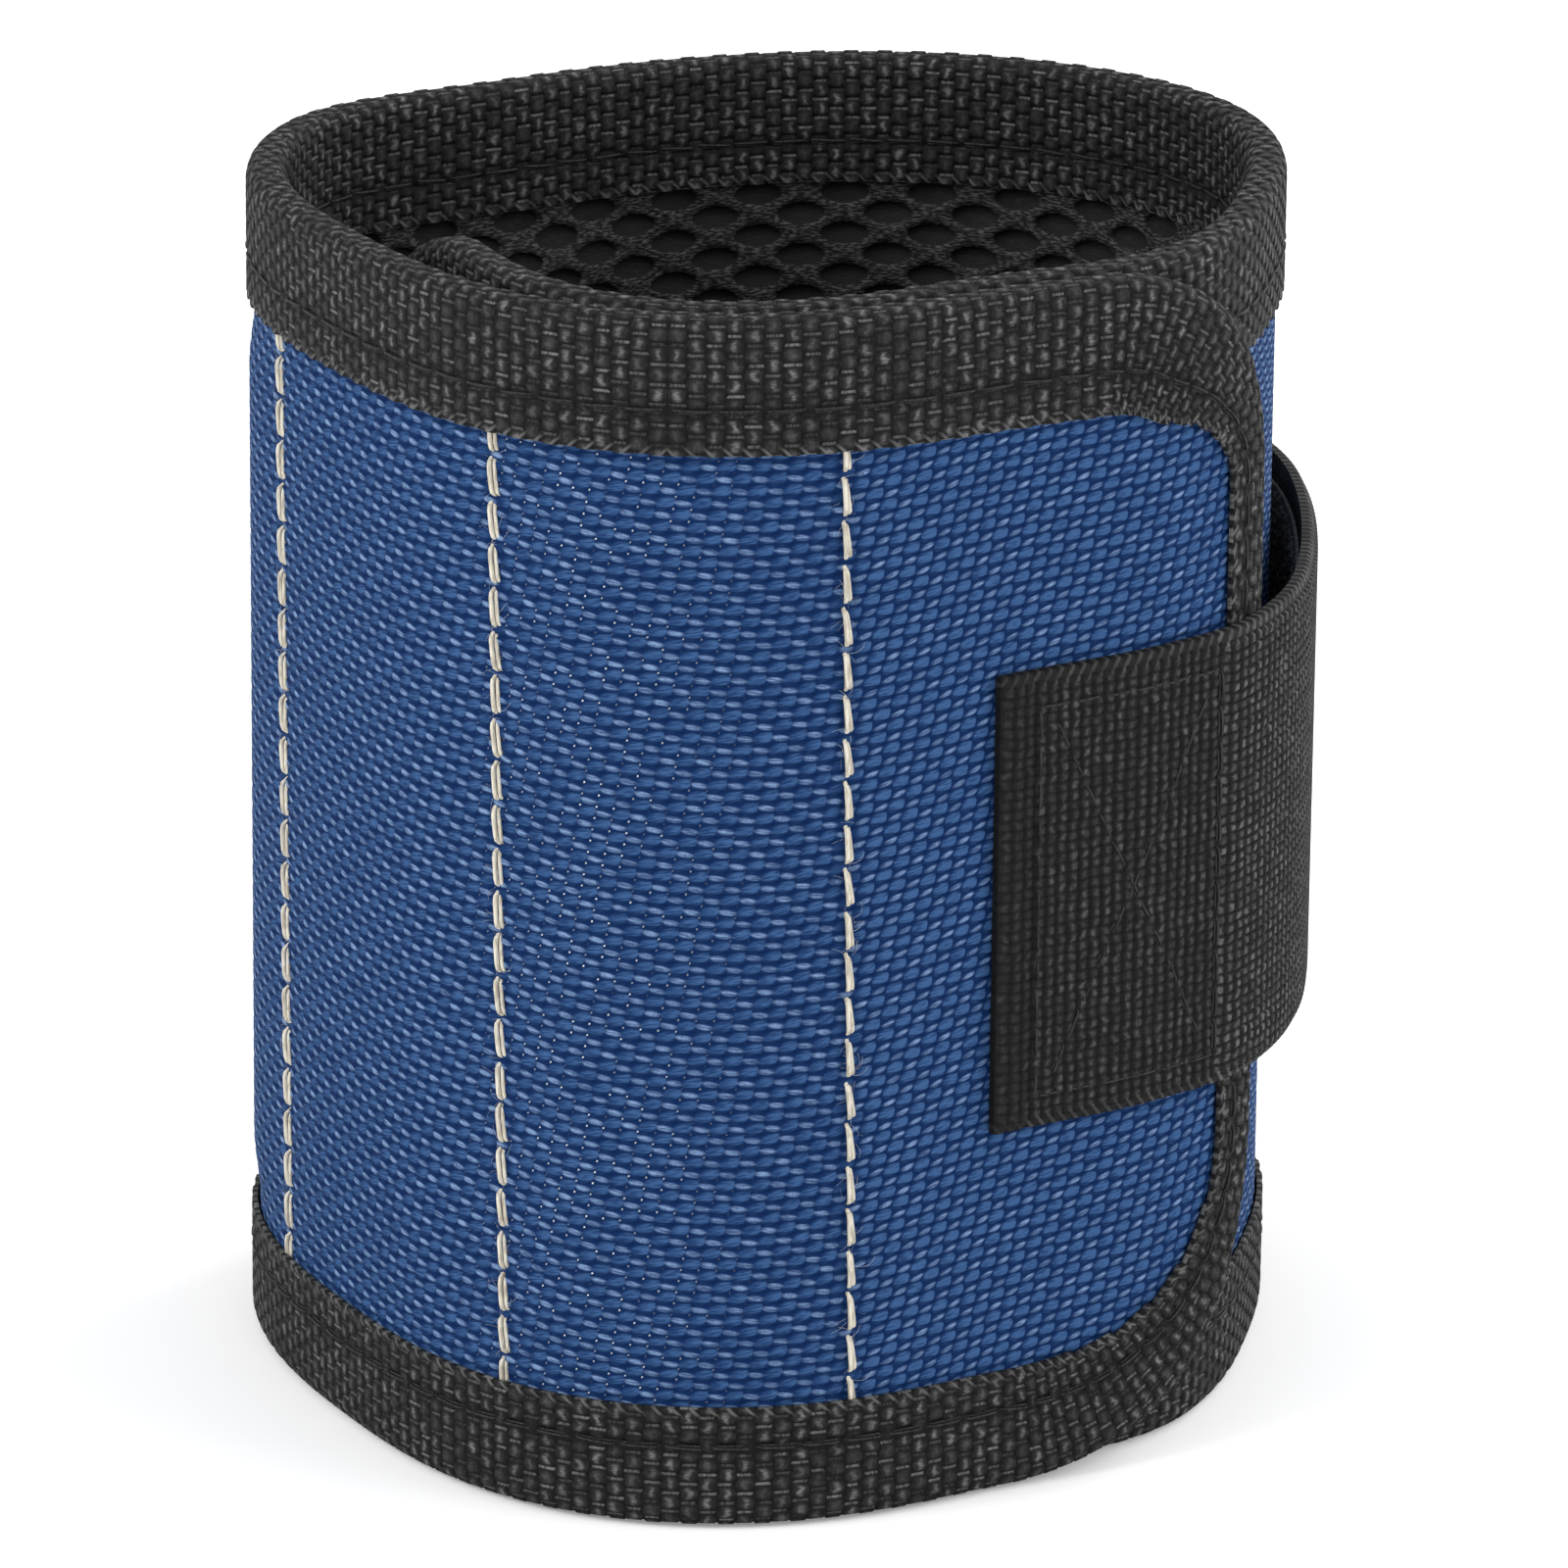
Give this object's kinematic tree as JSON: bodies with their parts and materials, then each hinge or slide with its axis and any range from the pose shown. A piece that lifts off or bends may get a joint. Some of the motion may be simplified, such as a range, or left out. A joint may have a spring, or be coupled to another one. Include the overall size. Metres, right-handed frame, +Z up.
{
  "type": "magnetic wristband",
  "caption": "Rolled padded wristband with bar magnets in sewn pockets, bound edges and a hook-and-loop strap; it peels open and unrolls to go round a wrist.",
  "frame": {"origin": "middle of the loop on the surface that it stands on", "axes": "+Z up along the wrist, -Y towards the front where the flap lies, +X towards the strap's side"},
  "size_m": [0.0796, 0.0841, 0.09],
  "materials": {
    "cloth": "blue plain-weave nylon",
    "lining": "black spacer mesh with oval holes",
    "binding": "charcoal ribbed binding tape",
    "magnet": "nickel-plated bar magnet",
    "strap": "black woven webbing",
    "pile": "black loop pile",
    "hooks": "black hook tape"
  },
  "bodies": {
    "back": {"cloth_back": "cloth", "lining_back": "lining", "binding_top_back": "binding", "binding_bottom_back": "binding", "magnet_back_1": "magnet", "magnet_back_2": "magnet", "magnet_back_3": "magnet", "hook_patch_back": "hooks"},
    "left": {"cloth_left": "cloth", "lining_left": "lining", "binding_top_left": "binding", "binding_bottom_left": "binding", "magnet_left_1": "magnet", "magnet_left_2": "magnet", "magnet_left_3": "magnet"},
    "front_left": {"cloth_front_left": "cloth", "lining_front_left": "lining", "binding_top_front_left": "binding", "binding_bottom_front_left": "binding", "magnet_front_left_1": "magnet", "magnet_front_left_2": "magnet", "magnet_front_left_3": "magnet"},
    "front": {"cloth_front": "cloth", "lining_front": "lining", "binding_top_front": "binding", "binding_bottom_front": "binding", "magnet_front_1": "magnet", "magnet_front_2": "magnet", "magnet_front_3": "magnet"},
    "flap": {"cloth_flap": "cloth", "lining_flap": "lining", "binding_flap_end": "binding", "strap_base": "strap"},
    "strap_bend": {"strap_bend": "strap", "strap_pile_bend": "pile"},
    "strap_run": {"strap_run": "strap", "strap_pile_run": "pile"},
    "strap_tip": {"strap_tip": "strap", "strap_pile_tip": "pile"},
    "right": {"cloth_right": "cloth", "lining_right": "lining", "binding_top_right": "binding", "binding_bottom_right": "binding", "hook_patch_right": "hooks"},
    "side": {"cloth_side": "cloth", "lining_side": "lining", "binding_top_side": "binding", "binding_bottom_side": "binding"},
    "under": {"cloth_under": "cloth", "lining_under": "lining", "binding_top_under": "binding", "binding_bottom_under": "binding"},
    "tuck": {"cloth_tuck": "cloth", "lining_tuck": "lining", "binding_tuck_end": "binding"}
  },
  "joints": [
    {"name": "unwrap", "type": "hinge", "parent": "back", "child": "left", "pos_m": [-0.03497, 0.01945, 0.045], "axis": [0, 0, -1], "range_deg": [0, 56]},
    {"name": "front_left_bend", "type": "hinge", "parent": "left", "child": "front_left", "pos_m": [-0.03671, -0.00949, 0.045], "axis": [0, 0, -1], "range_deg": [0, 47.6]},
    {"name": "front_bend", "type": "hinge", "parent": "front_left", "child": "front", "pos_m": [-0.02002, -0.036, 0.045], "axis": [0, 0, -1], "range_deg": [0, 47.6]},
    {"name": "flap_bend", "type": "hinge", "parent": "front", "child": "flap", "pos_m": [0.00562, -0.03985, 0.045], "axis": [0, 0, -1], "range_deg": [0, 50.4]},
    {"name": "strap_peel", "type": "hinge", "parent": "flap", "child": "strap_bend", "pos_m": [0.03658, -0.0185, 0.045], "axis": [0, 0, -1], "range_deg": [0, 72.8]},
    {"name": "strap_straighten", "type": "hinge", "parent": "strap_bend", "child": "strap_run", "pos_m": [0.0399, 0.0127, 0.045], "axis": [0, 0, -1], "range_deg": [0, 64.4]},
    {"name": "right_bend", "type": "hinge", "parent": "back", "child": "right", "pos_m": [0.01853, 0.03794, 0.045], "axis": [0, 0, 1], "range_deg": [0, 30.8]},
    {"name": "side_bend", "type": "hinge", "parent": "right", "child": "side", "pos_m": [0.037, 0.01586, 0.045], "axis": [0, 0, 1], "range_deg": [0, 25.2]},
    {"name": "under_bend", "type": "hinge", "parent": "side", "child": "under", "pos_m": [0.03358, -0.01329, 0.045], "axis": [0, 0, 1], "range_deg": [0, 18.48]},
    {"name": "tuck_bend", "type": "hinge", "parent": "under", "child": "tuck", "pos_m": [0.00211, -0.03762, 0.045], "axis": [0, 0, 1], "range_deg": [0, 16.8]},
    {"name": "tip_lift", "type": "hinge", "parent": "strap_run", "child": "strap_tip", "pos_m": [0.02595, 0.03707, 0.045], "axis": [0, 0, -1], "range_deg": [0, 60]}
  ],
  "couplings": [
    {"joint": "front_left_bend", "follows": "unwrap", "ratio": 0.85},
    {"joint": "front_bend", "follows": "unwrap", "ratio": 0.85},
    {"joint": "flap_bend", "follows": "unwrap", "ratio": 0.9},
    {"joint": "strap_peel", "follows": "unwrap", "ratio": 1.3},
    {"joint": "strap_straighten", "follows": "unwrap", "ratio": 1.15},
    {"joint": "right_bend", "follows": "unwrap", "ratio": 0.55},
    {"joint": "side_bend", "follows": "unwrap", "ratio": 0.45},
    {"joint": "under_bend", "follows": "unwrap", "ratio": 0.33},
    {"joint": "tuck_bend", "follows": "unwrap", "ratio": 0.3}
  ]
}
